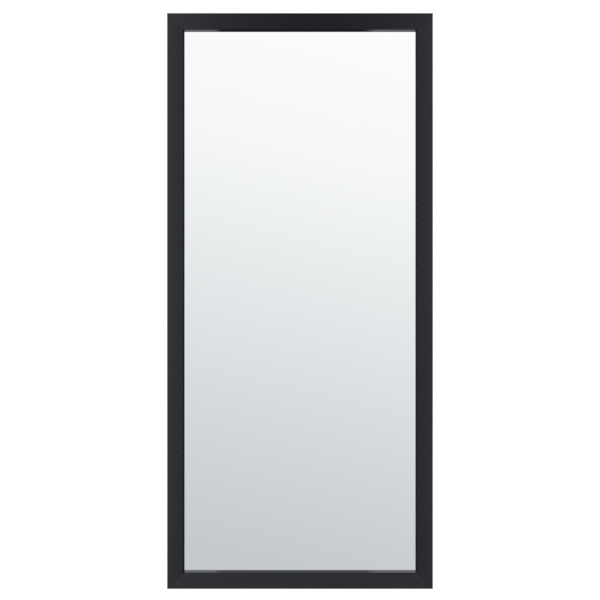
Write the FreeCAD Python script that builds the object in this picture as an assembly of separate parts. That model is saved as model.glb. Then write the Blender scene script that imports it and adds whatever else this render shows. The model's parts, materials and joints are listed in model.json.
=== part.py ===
"""Wall mirror with a flat mitred frame: frame, pane, backing, fixings and hangers, in millimetres.

+Z is up and +X is to the right, seen from the front, which faces -Y.
The origin is the middle of the wall plane, where the bumpers touch the wall.
"""
import FreeCAD
import Part

import math
import os

from FreeCAD import Vector

# Frame members
frame_width = 600.0
frame_height = 1300.0
face_width = 37.0
lip_depth = 9.0
rebate_width = 12.0
front_round = 1.2
back_round = 0.6

# Pane, liner and board, from front to back in the rebate
glass_thickness = 4.0
glass_seam = 0.5
glass_clearance = 2.0
liner_thickness = 2.0
liner_clearance = 2.0
board_thickness = 3.0
board_clearance = 1.0

# Setting pads under the pane
pad_length = 60.0
pad_inset = 100.0

# Corner nails driven across the mitres from the back
nail_arm = 5.0
nail_thickness = 0.5
nail_depth = 10.0
nail_inset = 7.0
nail_pitch = 8.0
nails_per_corner = 2

# Corner plates
plate_width = 14.0
plate_thickness = 1.5
plate_round = 3.0
plate_inner_round = 2.0
plate_first_hole = 27.0
plate_hole_pitch = 35.0
plate_end_distance = 8.0

# Turn buttons
button_pivot_radius = 6.0
button_tip_radius = 4.0
button_reach = 18.0
button_thickness = 1.2
button_inset = 9.0
button_play = 0.05

# Hanger straps and rings
strap_width = 14.0
strap_gauge = 0.8
strap_ring_clearance = 1.7
strap_hole_pitch = 14.0
strap_end_distance = 7.0
strap_round = 5.0
ring_wire = 3.0
ring_inside_bend = 1.0
ring_side = 1.0
ring_side_clearance = 0.5
ring_eye_clearance = 0.1
ring_rest_gap = 0.3

# Wall bumpers
bumper_diameter = 14.0
bumper_proud = 1.2
bumper_draft = 0.8
bumper_round = 1.0

# Pan-head screws
screw_hole_clearance = 0.06
pilot_clearance = 0.03
pilot_spare = 0.6
screw_tip = 2.0
screw_rim = 0.5
recess_width = 0.8
recess_length = 3.4
recess_floor = 1.0
small_shank = 3.0
small_shoulder = 1.5
small_head_height = 2.0
small_length = 12.0
hanger_shank = 3.5
hanger_shoulder = 1.55
hanger_head_height = 2.1
hanger_length = 15.0

# Space between neighbouring fixings along a stile
fixing_gap = 10.0

# Ring and strap sizes that follow from the wire and the strip
wire_radius = ring_wire / 2
eye_bore_radius = wire_radius + ring_eye_clearance
eye_radius = eye_bore_radius + strap_gauge
ring_corner = wire_radius + ring_inside_bend
ring_half_width = strap_width / 2 + ring_side_clearance + ring_corner
ring_reach = ring_corner + ring_side + ring_half_width
hanger_head_radius = hanger_shank / 2 + hanger_shoulder
strap_first_hole = ring_reach + wire_radius + strap_ring_clearance + hanger_head_radius
strap_length = strap_first_hole + strap_hole_pitch + strap_end_distance

# Planes, counted from the wall at y = 0 towards the front
strap_grip = 2 * strap_gauge
button_grip = button_thickness + 2 * button_play
tallest_fixing = max(
    2 * eye_radius,
    strap_grip + hanger_head_height,
    plate_thickness + small_head_height,
    button_grip + small_head_height,
)
bumper_height = tallest_fixing + bumper_proud
frame_depth = lip_depth + glass_thickness + liner_thickness + board_thickness
back_y = -bumper_height
front_y = back_y - frame_depth
board_y = back_y - board_thickness
liner_y = board_y - liner_thickness
glass_y = liner_y - glass_thickness

# Places that follow from the frame
back_strip = face_width - rebate_width
rebate_opening_x = frame_width - 2 * back_strip
rebate_opening_z = frame_height - 2 * back_strip
strip_middle_x = frame_width / 2 - back_strip / 2
pivot_x = frame_width / 2 - back_strip + button_inset
pivot_z = frame_height / 2 - back_strip + button_inset
ring_pivot_y = back_y + eye_radius
button_sweep = button_reach + button_tip_radius
plate_leg = plate_first_hole + plate_hole_pitch + plate_end_distance

# Heights on the stiles, each fixing a gap below the one before it
plate_margin = (back_strip - plate_width) / 2
bumper_z = frame_height / 2 - plate_margin - plate_leg - fixing_gap - bumper_diameter / 2
ring_top_z = bumper_z - bumper_diameter / 2 - fixing_gap
ring_pivot_z = ring_top_z - wire_radius - ring_reach
strap_end_z = ring_pivot_z - strap_length
button_z = strap_end_z - fixing_gap - button_sweep

SIDES = {"left": -1, "right": 1}
ENDS = {"top": 1, "bottom": -1}
ALONG_X = Vector(1, 0, 0)
ALONG_Y = Vector(0, 1, 0)
ALONG_Z = Vector(0, 0, 1)
ORIGIN = Vector(0, 0, 0)


def rounded_wire(corners, to_space):
    """Closed wire through (a, b, radius) corners, where to_space puts a flat point in space."""
    flat = [Vector(a, b, 0) for a, b, _ in corners]
    edges = []
    run_start = None
    first = None
    count = len(corners)
    for i in range(count):
        here = flat[i]
        back = (flat[i - 1] - here).normalize()
        ahead = (flat[(i + 1) % count] - here).normalize()
        radius = corners[i][2]
        half_angle = back.getAngle(ahead) / 2
        setback = radius / math.tan(half_angle)
        arrive = here + back * setback
        leave = here + ahead * setback
        if run_start is not None:
            edges.append(Part.makeLine(to_space(run_start), to_space(arrive)))
        else:
            first = arrive
        if radius > 0:
            bisector = (back + ahead).normalize()
            middle = here + bisector * (radius / math.sin(half_angle) - radius)
            edges.append(Part.Arc(to_space(arrive), to_space(middle), to_space(leave)).toShape())
        run_start = leave
    edges.append(Part.makeLine(to_space(run_start), to_space(first)))
    return Part.Wire(edges)


def flat_plate(corners, y, thickness):
    """Plate with a rounded outline in X and Z, from y towards the wall."""
    wire = rounded_wire(corners, lambda p: Vector(p.x, y, p.y))
    return Part.Face(wire).extrude(ALONG_Y * thickness)


def rectangle(width, height):
    """Square corners of a rectangle about the origin."""
    w = width / 2
    h = height / 2
    return [(-w, -h, 0), (w, -h, 0), (w, h, 0), (-w, h, 0)]


def turned(wire):
    """Solid made by turning a closed wire round the Y axis."""
    return Part.Face(wire).revolve(ORIGIN, ALONG_Y, 360)


def moved(shape, x, y, z):
    """Copy of a shape at a place."""
    copy = shape.copy()
    copy.translate(Vector(x, y, z))
    return copy


def rod(radius, length, start, direction):
    """Plain cylinder."""
    return Part.makeCylinder(radius, length, start, direction)


def frame_member(span, length):
    """Member on the left of a frame that is span wide, mitred at both ends."""
    section = [
        (0, front_y, front_round),
        (face_width, front_y, front_round),
        (face_width, front_y + lip_depth, 0),
        (back_strip, front_y + lip_depth, 0),
        (back_strip, back_y, back_round),
        (0, back_y, back_round),
    ]
    outer_x = -span / 2
    end_z = -length / 2
    wire = rounded_wire(section, lambda p: Vector(outer_x + p.x, p.y, end_z))
    bar = Part.Face(wire).extrude(ALONG_Z * length)
    mitred = [
        (outer_x, end_z, 0),
        (outer_x + face_width, end_z + face_width, 0),
        (outer_x + face_width, -end_z - face_width, 0),
        (outer_x, -end_z, 0),
    ]
    return bar.common(flat_plate(mitred, front_y, frame_depth)).Solids[0]


def frame_members():
    """The four members, each one the left member of its own span turned to its side."""
    quarter_turns = {
        "stile_left": 0,
        "rail_top": 1,
        "stile_right": 2,
        "rail_bottom": 3,
    }
    members = {}
    for name, turns in quarter_turns.items():
        upright = turns % 2 == 0
        span = frame_width if upright else frame_height
        length = frame_height if upright else frame_width
        member = frame_member(span, length)
        member.rotate(ORIGIN, ALONG_Y, 90 * turns)
        members[name] = member
    return members


def mitre_nail(inset, side, end):
    """Right-angled corner nail on a mitre, one arm in each member."""
    corner_x = side * (frame_width / 2 - inset)
    corner_z = end * (frame_height / 2 - inset)
    in_x = -side
    in_z = -end
    t = nail_thickness
    outline = [
        (corner_x, corner_z, 0),
        (corner_x + in_x * nail_arm, corner_z, 0),
        (corner_x + in_x * nail_arm, corner_z + in_z * t, 0),
        (corner_x + in_x * t, corner_z + in_z * t, 0),
        (corner_x + in_x * t, corner_z + in_z * nail_arm, 0),
        (corner_x, corner_z + in_z * nail_arm, 0),
    ]
    return flat_plate(outline, back_y - nail_depth, nail_depth)


def mitre_nails():
    """All the corner nails."""
    insets = [nail_inset + i * nail_pitch for i in range(nails_per_corner)]
    return [
        mitre_nail(inset, side, end)
        for side in SIDES.values()
        for end in ENDS.values()
        for inset in insets
    ]


def mirror_glass():
    """Pane with all its edges seamed."""
    width = rebate_opening_x - 2 * glass_clearance
    height = rebate_opening_z - 2 * glass_clearance
    pane = flat_plate(rectangle(width, height), glass_y, glass_thickness)
    return pane.makeChamfer(glass_seam, pane.Edges)


def glass_pad(side):
    """Rubber pad between the lower rail's rebate and the pane's lower edge."""
    x = side * (rebate_opening_x / 2 - pad_inset) - pad_length / 2
    z = -rebate_opening_z / 2
    return Part.makeBox(pad_length, glass_thickness, glass_clearance, Vector(x, glass_y, z))


def liner():
    """Cardboard sheet behind the pane."""
    width = rebate_opening_x - 2 * liner_clearance
    height = rebate_opening_z - 2 * liner_clearance
    return flat_plate(rectangle(width, height), liner_y, liner_thickness)


def backing_board():
    """Hardboard sheet, flush with the back of the frame."""
    width = rebate_opening_x - 2 * board_clearance
    height = rebate_opening_z - 2 * board_clearance
    return flat_plate(rectangle(width, height), board_y, board_thickness)


def pan_screw(shank, length, shoulder, head_height):
    """Screw along Y with its head's underside at y = 0 and a cross recess in the head."""
    shank_radius = shank / 2
    head_radius = shank_radius + shoulder
    rise = head_height - screw_rim
    dome_radius = (head_radius**2 + rise**2) / (2 * rise)
    half_sweep = math.asin(head_radius / dome_radius) / 2
    dome_middle = Vector(
        dome_radius * math.sin(half_sweep),
        head_height - dome_radius * (1 - math.cos(half_sweep)),
        0,
    )
    outline = [
        Vector(0, head_height, 0),
        Vector(0, -length, 0),
        Vector(shank_radius, screw_tip - length, 0),
        Vector(shank_radius, 0, 0),
        Vector(head_radius, 0, 0),
        Vector(head_radius, screw_rim, 0),
    ]
    edges = [Part.makeLine(a, b) for a, b in zip(outline, outline[1:])]
    edges.append(Part.Arc(outline[-1], dome_middle, outline[0]).toShape())
    screw = turned(Part.Wire(edges))
    for corners in (rectangle(recess_length, recess_width), rectangle(recess_width, recess_length)):
        screw = screw.cut(flat_plate(corners, recess_floor, head_height))
    return screw.Solids[0]


def screw_group(places, grip, shank, length, shoulder, head_height):
    """Screws at (x, z) places on fixings of grip thickness, and the holes they need in the frame."""
    screw = pan_screw(shank, length, shoulder, head_height)
    screws = [moved(screw, x, back_y + grip, z) for x, z in places]
    hole_depth = length - grip + pilot_spare
    hole_radius = shank / 2 + pilot_clearance
    holes = [rod(hole_radius, hole_depth, Vector(x, back_y, z), -ALONG_Y) for x, z in places]
    return screws, holes


def plate_holes(side, end):
    """Centres of a corner plate's holes, two on each leg."""
    corner_x = frame_width / 2 - plate_margin
    corner_z = frame_height / 2 - plate_margin
    middle = plate_width / 2
    along = (plate_first_hole, plate_first_hole + plate_hole_pitch)
    places = [(corner_x - a, corner_z - middle) for a in along]
    places += [(corner_x - middle, corner_z - a) for a in along]
    return [(side * x, end * z) for x, z in places]


def corner_plate(side, end):
    """L-shaped plate over a mitre."""
    x = frame_width / 2 - plate_margin
    z = frame_height / 2 - plate_margin
    outline = [
        (x, z, plate_round),
        (x - plate_leg, z, plate_round),
        (x - plate_leg, z - plate_width, plate_round),
        (x - plate_width, z - plate_width, plate_inner_round),
        (x - plate_width, z - plate_leg, plate_round),
        (x, z - plate_leg, plate_round),
    ]
    placed = [(side * a, end * b, r) for a, b, r in outline]
    plate = flat_plate(placed, back_y, plate_thickness)
    hole_radius = small_shank / 2 + screw_hole_clearance
    for hole_x, hole_z in plate_holes(side, end):
        mouth = Vector(hole_x, back_y, hole_z)
        plate = plate.cut(rod(hole_radius, plate_thickness, mouth, ALONG_Y))
    return plate.Solids[0]


def button_places():
    """Turn buttons: name, pivot and the way the arm points, in degrees from +X towards +Z."""
    places = {}
    heights = {"top": button_z, "middle": 0.0, "bottom": -button_z}
    for side_name, side in SIDES.items():
        for height_name, z in heights.items():
            inward = 0 if side < 0 else 180
            places[f"{side_name}_{height_name}"] = (side * pivot_x, z, inward)
    for end_name, end in ENDS.items():
        places[end_name] = (0.0, end * pivot_z, -90 * end)
    return places


def turn_button(x, z, pointing):
    """Tapered button with a round hole for its screw."""
    slant = math.acos((button_pivot_radius - button_tip_radius) / button_reach)

    def rim(centre_a, radius, angle):
        return Vector(centre_a + radius * math.cos(angle), 0, radius * math.sin(angle))

    wide_top = rim(0, button_pivot_radius, slant)
    wide_low = rim(0, button_pivot_radius, -slant)
    tip_top = rim(button_reach, button_tip_radius, slant)
    tip_low = rim(button_reach, button_tip_radius, -slant)
    wire = Part.Wire([
        Part.Arc(wide_top, Vector(-button_pivot_radius, 0, 0), wide_low).toShape(),
        Part.makeLine(wide_low, tip_low),
        Part.Arc(tip_low, Vector(button_sweep, 0, 0), tip_top).toShape(),
        Part.makeLine(tip_top, wide_top),
    ])
    button = Part.Face(wire).extrude(ALONG_Y * button_thickness)
    hole_radius = small_shank / 2 + screw_hole_clearance
    button = button.cut(rod(hole_radius, button_thickness, ORIGIN, ALONG_Y)).Solids[0]
    button.rotate(ORIGIN, ALONG_Y, -pointing)
    return moved(button, x, back_y + button_play, z)


def strap_holes(side):
    """Centres of a hanger strap's holes."""
    x = side * strip_middle_x
    along = (strap_first_hole, strap_first_hole + strap_hole_pitch)
    return [(x, ring_pivot_z - a) for a in along]


def hanger_strap(side):
    """Strip folded in two round the ring's bar, flat on the back of the frame."""
    x = side * strip_middle_x - strap_width / 2
    eye_middle = Vector(x, ring_pivot_y, ring_pivot_z)
    eye = rod(eye_radius, strap_width, eye_middle, ALONG_X)
    foot = Vector(x, back_y, strap_end_z)
    under_layer = Part.makeBox(strap_width, strap_gauge, strap_length, foot)
    both_layers = Part.makeBox(strap_width, strap_grip, strap_length - eye_bore_radius, foot)
    strap = eye.fuse([under_layer, both_layers])
    strap = strap.cut(rod(eye_bore_radius, strap_width, eye_middle, ALONG_X))
    top = ring_pivot_z + eye_radius
    outline = [
        (x, top, 0),
        (x, strap_end_z, strap_round),
        (x + strap_width, strap_end_z, strap_round),
        (x + strap_width, top, 0),
    ]
    strap = strap.common(flat_plate(outline, back_y, 2 * eye_radius))
    hole_radius = hanger_shank / 2 + screw_hole_clearance
    for hole_x, hole_z in strap_holes(side):
        mouth = Vector(hole_x, back_y, hole_z)
        strap = strap.cut(rod(hole_radius, strap_grip, mouth, ALONG_Y))
    return strap.removeSplitter().Solids[0]


def hanger_ring(side):
    """D-ring of round wire, leaning back until it all but touches the frame."""
    w = ring_half_width
    corner = ring_corner
    bar = 2 * (w - corner)
    shoulder = corner + ring_side
    pieces = [
        rod(wire_radius, bar, Vector(-bar / 2, 0, 0), ALONG_X),
        rod(wire_radius, ring_side, Vector(-w, 0, corner), ALONG_Z),
        rod(wire_radius, ring_side, Vector(w, 0, corner), ALONG_Z),
    ]
    bow = Part.makeTorus(w, wire_radius, ORIGIN, ALONG_Y)
    bow = bow.common(Part.makeBox(4 * w, 4 * w, 2 * w, Vector(-2 * w, -2 * w, 0)))
    pieces.append(moved(bow, 0, 0, shoulder))
    bend = Part.makeTorus(corner, wire_radius, ORIGIN, ALONG_Y)
    for way in SIDES.values():
        reach = 2 * corner
        quarter = Part.makeBox(reach, 2 * reach, reach, Vector(min(0, way * reach), -reach, -reach))
        pieces.append(moved(bend.common(quarter), way * (w - corner), 0, corner))
    ring = pieces[0].fuse(pieces[1:]).removeSplitter().Solids[0]
    lean = math.asin((eye_radius - wire_radius - ring_rest_gap) / ring_reach)
    ring.rotate(ORIGIN, ALONG_X, math.degrees(lean))
    return moved(ring, side * strip_middle_x, ring_pivot_y, ring_pivot_z)


def wall_bumper(side, end):
    """Round rubber bumper with drafted sides, flat against the wall."""
    radius = bumper_diameter / 2
    back_radius = radius - bumper_draft
    wire = rounded_wire(
        [
            (0, 0, 0),
            (radius, 0, 0),
            (back_radius, bumper_height, bumper_round),
            (0, bumper_height, 0),
        ],
        lambda p: Vector(p.x, p.y, 0),
    )
    return moved(turned(wire), side * strip_middle_x, back_y, end * bumper_z)


def build():
    """Every piece by name: one solid each, or a list of like solids."""
    small = (small_shank, small_length, small_shoulder, small_head_height)
    large = (hanger_shank, hanger_length, hanger_shoulder, hanger_head_height)
    corners = {
        f"{end_name}_{side_name}": (side, end)
        for end_name, end in ENDS.items()
        for side_name, side in SIDES.items()
    }
    buttons = button_places()
    button_centres = [(x, z) for x, z, _ in buttons.values()]
    plate_centres = [place for corner in corners.values() for place in plate_holes(*corner)]
    strap_centres = [place for side in SIDES.values() for place in strap_holes(side)]
    button_screws, button_pilots = screw_group(button_centres, button_grip, *small)
    plate_screws, plate_pilots = screw_group(plate_centres, plate_thickness, *small)
    strap_screws, strap_pilots = screw_group(strap_centres, strap_grip, *large)
    nails = mitre_nails()

    pieces = {
        "mitre_nails": nails,
        "mirror_glass": mirror_glass(),
        "cardboard_liner": liner(),
        "backing_board": backing_board(),
        "turn_button_screws": button_screws,
        "corner_plate_screws": plate_screws,
        "hanger_screws": strap_screws,
    }
    driven_in = button_pilots + plate_pilots + strap_pilots + nails
    for name, member in frame_members().items():
        pieces[name] = member.cut(driven_in).Solids[0]
    for name, button in buttons.items():
        pieces[f"turn_button_{name}"] = turn_button(*button)
    for name, corner in corners.items():
        pieces[f"corner_plate_{name}"] = corner_plate(*corner)
        pieces[f"wall_bumper_{name}"] = wall_bumper(*corner)
    for name, side in SIDES.items():
        pieces[f"glass_pad_{name}"] = glass_pad(side)
        pieces[f"hanger_strap_{name}"] = hanger_strap(side)
        pieces[f"hanger_ring_{name}"] = hanger_ring(side)
    return pieces


def main():
    """Write one file for each piece."""
    os.makedirs("parts", exist_ok=True)
    for name, piece in build().items():
        shape = Part.makeCompound(piece) if isinstance(piece, list) else piece
        shape.exportStep(f"parts/{name}.step")


main()
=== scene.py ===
"""Wall mirror in a flat black frame: dressed pieces, finishes, studio and camera.

Sizes are in metres, in the row frame: +Z is up, the front faces -Y and the wall is the plane y = 0.
"""
import json
import math

import bmesh
import bpy
from bpy.props import FloatProperty, FloatVectorProperty, PointerProperty
from mathutils import Matrix, Vector
from mathutils.geometry import tessellate_polygon


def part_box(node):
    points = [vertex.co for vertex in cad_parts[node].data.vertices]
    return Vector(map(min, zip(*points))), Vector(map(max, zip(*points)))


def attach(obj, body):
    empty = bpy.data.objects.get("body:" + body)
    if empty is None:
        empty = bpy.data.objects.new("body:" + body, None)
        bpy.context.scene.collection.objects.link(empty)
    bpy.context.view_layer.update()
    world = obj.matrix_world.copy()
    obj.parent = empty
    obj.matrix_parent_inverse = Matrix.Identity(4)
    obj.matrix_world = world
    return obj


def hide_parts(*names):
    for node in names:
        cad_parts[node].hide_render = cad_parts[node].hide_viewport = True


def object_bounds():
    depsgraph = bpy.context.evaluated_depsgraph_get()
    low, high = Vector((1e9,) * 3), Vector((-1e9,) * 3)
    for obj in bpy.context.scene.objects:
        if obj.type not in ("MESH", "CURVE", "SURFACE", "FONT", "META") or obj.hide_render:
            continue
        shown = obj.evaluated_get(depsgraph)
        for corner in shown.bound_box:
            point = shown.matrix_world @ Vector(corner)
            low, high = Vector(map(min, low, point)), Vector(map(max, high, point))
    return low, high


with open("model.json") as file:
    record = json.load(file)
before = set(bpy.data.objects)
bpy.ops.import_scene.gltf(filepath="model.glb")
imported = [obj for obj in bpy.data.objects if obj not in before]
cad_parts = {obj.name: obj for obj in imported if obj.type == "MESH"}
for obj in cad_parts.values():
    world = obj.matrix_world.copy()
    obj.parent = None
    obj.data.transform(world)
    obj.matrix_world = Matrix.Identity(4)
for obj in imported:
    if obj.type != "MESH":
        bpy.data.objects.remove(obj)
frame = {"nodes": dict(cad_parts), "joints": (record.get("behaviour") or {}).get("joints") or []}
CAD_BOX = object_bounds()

bl_info = {
    "name": "Wall Mirror",
    "version": (1, 0, 0),
    "blender": (4, 5, 0),
    "location": "View3D > Sidebar > Mirror",
    "description": "Dresses the wall mirror's frame, fixings and hangers and sets up its studio",
    "category": "Object",
}

MM = 0.001

SIDES = {"left": -1, "right": 1}
ENDS = {"top": 1, "bottom": -1}
CORNERS = [(end, side) for end in ENDS for side in SIDES]
QUARTER_TURNS = {"stile_left": 0, "rail_top": 1, "stile_right": 2, "rail_bottom": 3}
PIVOTS = {joint["child"]: Vector(joint["pos_m"]) for joint in frame["joints"]}
BUTTONS = [body for body in PIVOTS if body.startswith("turn_button")]

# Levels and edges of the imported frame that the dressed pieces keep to
OUTER = CAD_BOX[1]
FRONT_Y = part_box("stile_left")[0].y
BACK_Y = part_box("stile_left")[1].y
LIP_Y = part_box("mirror_glass")[0].y
FACE_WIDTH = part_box("stile_left")[1].x + OUTER.x
BACK_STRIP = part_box("glass_pad_left")[0].z + OUTER.z
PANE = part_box("mirror_glass")[1]

# Satin of the foil, as the weight of its coat, varied by place as painted sheen and shade. On a stile it
# falls from the outer edge to the inner one and changes a little with height and from left to right. On a
# rail it is least at one place and grows away from it, a painted dark patch that is strongest on the top
# rail.
STILE_SATIN_AND_PAINTED_SHEEN = {"outer": 0.668, "inner": 0.358, "to_top": 0.06, "to_right": -0.009}
RAIL_SATIN_AND_PAINTED_SHEEN = {
    "rail_top": {"least": 0.03, "at_x": 28 * MM, "growth": 7.2},
    "rail_bottom": {"least": 0.53, "at_x": 50 * MM, "growth": 1.2},
}

# Gloss of a rail's lip wall, dull along the middle and bright towards both ends: painted reflection,
# carried by the coat's weight
LIP_GLOSS_AND_PAINTED_REFLECTION = {
    "rail_top": {"middle": 0.06, "ends": 0.9},
    "rail_bottom": {"middle": 0.42, "ends": 0.85},
}

# Where along a rail, from left to right, its lip turns dull and where it turns glossy again, bounding the
# painted reflection
LIP_DULLS = (-198 * MM, -176 * MM)
LIP_SHINES = (140 * MM, 178 * MM)

# Light in front of the mirror, by the height it comes from: -1 is straight down and 1 straight up
SOFT_BAND = ((-1.0, 0.1), (-0.75, 0.15), (-0.5, 0.6), (0.0, 0.72), (0.5, 0.68), (0.72, 0.2), (1.0, 0.08))

# Which ways the fibres of a board and the scratches of a plate lie, in radians
FIBRE_LIES = (0.3, 1.35, 2.4)
SCRATCH_LIE = 0.7

# Roughness of each kind of steel where it is smoothest
SMOOTHEST = {"nail": 0.4, "plate": 0.3, "button": 0.26, "strap": 0.24}

# How each screw's cross happened to stop, in degrees: the first one, and how far on the next one is
FIRST_CROSS = 20.0
NEXT_CROSS = 137.5

# Radius of the flat that closes a turned body on its axis
HUB = 0.1 * MM

# How near counts as touching
NEAR = 0.1 * MM


def length(name, description, default):
    """A size in metres that a user may change."""
    return FloatProperty(
        name=name, description=description, default=default, min=0.0, precision=5, unit="LENGTH"
    )


def colour(name, description, default):
    """A colour that a user may change."""
    return FloatVectorProperty(
        name=name, description=description, default=default, min=0.0, max=4.0, size=3, subtype="COLOR"
    )


def point(name, description, default):
    """A place in the row frame that a user may change."""
    return FloatVectorProperty(
        name=name, description=description, default=default, size=3, subtype="TRANSLATION", unit="LENGTH"
    )


def share(name, description, default):
    """A plain number that a user may change."""
    return FloatProperty(name=name, description=description, default=default, min=0.0, precision=3)


class MirrorFrameSizes(bpy.types.PropertyGroup):
    """Edges and joints of the frame members."""

    front_round: length("Front arris", "Rounding of the front edges", 1.2 * MM)
    back_round: length("Back arris", "Rounding of the back edges", 0.6 * MM)
    mitre_ease: length("Mitre ease", "How far the edges of a mitre are broken", 0.15 * MM)
    foil_return: length("Foil return", "How far the foil is folded over onto the back", 4.2 * MM)


class MirrorStampingSizes(bpy.types.PropertyGroup):
    """Corner plates and turn buttons."""

    cut_edge: length("Cut edge", "Rounding that tumbling leaves on stamped edges", 0.22 * MM)
    screw_hole: length("Screw hole", "Radius of the holes in plates and buttons", 1.56 * MM)
    plate_width: length("Plate width", "Width of a corner plate's legs", 14 * MM)
    plate_round: length("Plate corner", "Rounding of a corner plate's corners", 3 * MM)
    plate_inner_round: length("Plate inner corner", "Rounding of its inside corner", 2 * MM)
    plate_first_hole: length("First hole", "From a plate's corner to its first hole", 27 * MM)
    plate_hole_pitch: length("Hole pitch", "Between the holes of one leg", 35 * MM)
    button_pivot: length("Button pivot", "Radius of a turn button round its screw", 6 * MM)
    button_tip: length("Button tip", "Radius of a turn button's tip", 4 * MM)


class MirrorHangerSizes(bpy.types.PropertyGroup):
    """Straps and rings that the mirror hangs by."""

    strap_gauge: length("Strap gauge", "Thickness of the strap's strip", 0.8 * MM)
    strap_edge: length("Strap edge", "Rounding of the strip's cut edges", 0.22 * MM)
    strap_leaf_gap: length("Leaf gap", "Between the two leaves of the folded strip", 0.04 * MM)
    strap_bend: length("Strap bend", "Bend where the strip leaves the eye", 0.92 * MM)
    strap_round: length("Strap corner", "Rounding of a strap's end", 5 * MM)
    strap_first_hole: length("Strap screw", "From a strap's end to its first screw", 7 * MM)
    strap_hole_pitch: length("Strap pitch", "Between a strap's screws", 14 * MM)
    ring_wire: length("Ring wire", "Diameter of the hanger ring's wire", 3 * MM)
    ring_corner: length("Ring corner", "Bend at the ends of the ring's bar", 2.5 * MM)


class MirrorScrewSizes(bpy.types.PropertyGroup):
    """Screws of the plates, buttons and straps."""

    small_shank: length("Small shank", "Radius of the plate and button screws", 1.5 * MM)
    small_head: length("Small head", "Radius of their heads", 3 * MM)
    small_height: length("Small head height", "Height of their heads", 2 * MM)
    small_length: length("Small screw", "Length of these screws under the head", 12 * MM)
    hanger_shank: length("Hanger shank", "Radius of the hanger screws", 1.75 * MM)
    hanger_head: length("Hanger head", "Radius of their heads", 3.3 * MM)
    hanger_height: length("Hanger head height", "Height of their heads", 2.1 * MM)
    hanger_length: length("Hanger screw", "Length of the hanger screws under the head", 15 * MM)
    rim: length("Rim", "Height of the upright rim below a head's dome", 0.5 * MM)
    rim_ease: length("Rim ease", "How far the rim's lower edge is broken", 0.12 * MM)
    tip: length("Tip", "Length of a screw's tapered tip", 2 * MM)
    cross_reach: share("Cross reach", "Reach of the cross, as a share of the head's radius", 0.72)
    cross_half: length("Cross arm", "Half the width of the cross's arms", 0.5 * MM)
    cross_floor: length("Cross floor", "From under the head to the cross's floor", 0.8 * MM)
    cross_floor_reach: length("Cross floor reach", "Reach of the cross at its floor", 0.8 * MM)
    cross_floor_half: length("Cross floor arm", "Half the width of its arms at the floor", 0.3 * MM)


class MirrorBumperSizes(bpy.types.PropertyGroup):
    """Rubber bumpers at the wall."""

    draft: length("Bumper draft", "How much narrower a bumper is at the wall", 0.8 * MM)
    edge_round: length("Bumper edge", "Rounding of a bumper's edge at the wall", 1 * MM)
    foot_round: length("Bumper foot", "Rounding of its edge at the tape", 0.3 * MM)
    tape: length("Bumper tape", "Thickness of a bumper's foam tape", 0.7 * MM)
    tape_inset: length("Tape inset", "How far the tape stands in from the rubber", 0.5 * MM)


class MirrorColours(bpy.types.PropertyGroup):
    """Colours of the finishes."""

    foil: colour("Black foil", "Satin foil on the frame", (0.0060, 0.0066, 0.0092))
    fibreboard: colour("Fibreboard", "Bare board at the back of the frame", (0.47, 0.31, 0.175))
    silver: colour("Silvering", "What the mirror returns", (0.935, 0.945, 0.94))
    pane_edge: colour("Pane edge", "What it returns at the pane's edge", (0.87, 0.917, 0.893))
    hardboard: colour("Hardboard", "Backing board", (0.135, 0.068, 0.034))
    card: colour("Card", "Liner behind the pane", (0.43, 0.27, 0.14))
    zinc: colour("Zinc", "Plates, buttons and straps", (0.6, 0.615, 0.635))
    screw: colour("Screw zinc", "Screws", (0.67, 0.68, 0.69))
    nickel: colour("Nickel", "Hanger rings", (0.69, 0.675, 0.645))
    steel: colour("Steel", "Corner nails", (0.42, 0.415, 0.41))
    rubber: colour("Rubber", "Wall bumpers", (0.022, 0.022, 0.023))
    pad: colour("Pad", "Setting pads under the pane", (0.0176, 0.0176, 0.0184))
    tape: colour("Tape", "Foam tape under the bumpers", (0.62, 0.62, 0.6))


class MirrorStudio(bpy.types.PropertyGroup):
    """Camera, floor and light."""

    camera_distance: length("Camera distance", "From the camera to the frame's front", 1.74)
    camera_rise: length("Camera rise", "How far the camera stands above the mirror's middle", 2.3 * MM)
    picture_width: length("Picture width", "What the picture takes in at the frame's front", 1.354)
    backdrop: share("Backdrop", "Brightness of the white round the mirror", 1.05)
    floor: colour("Floor", "Colour of the floor", (0.5, 0.5, 0.5))
    floor_glow: share("Floor glow", "Light that the floor gives off by itself", 0.86)
    floor_half: length("Floor reach", "How far the floor reaches from the middle", 30.0)
    floor_gap: length("Floor gap", "How far below the hung mirror the floor lies", 20 * MM)
    wall_foot: colour("Wall foot", "What the pane shows of the room's foot", (0.32, 0.345, 0.375))
    wall_low: colour("Wall, low", "What it shows low on the far wall", (0.607, 0.627, 0.653))
    wall_high: colour("Wall, high", "What it shows high on the far wall", (0.98, 0.985, 1.0))
    ceiling: colour("Ceiling", "What it shows above the far wall", (1.065, 1.055, 1.06))
    wall_lean: share("Wall lean", "How much brighter the far wall gets to the right", 0.243)
    wall_side: share("Wall side", "How far to each side it goes on getting brighter", 0.28)
    coolness: share("Coolness", "Blue in the soft light in front, beside its red", 1.06)
    lamp_power: FloatProperty(
        name="Back lamp", description="Power of the softbox behind", default=30.0, min=0.0, unit="POWER"
    )
    lamp_width: length("Lamp width", "Width of the softbox", 2.4)
    lamp_place: point("Lamp place", "Where the softbox hangs", (1.5, 1.3, 1.7))
    lamp_aim: point("Lamp aim", "What the softbox is turned to", (0.0, 0.0, 0.1))


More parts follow.
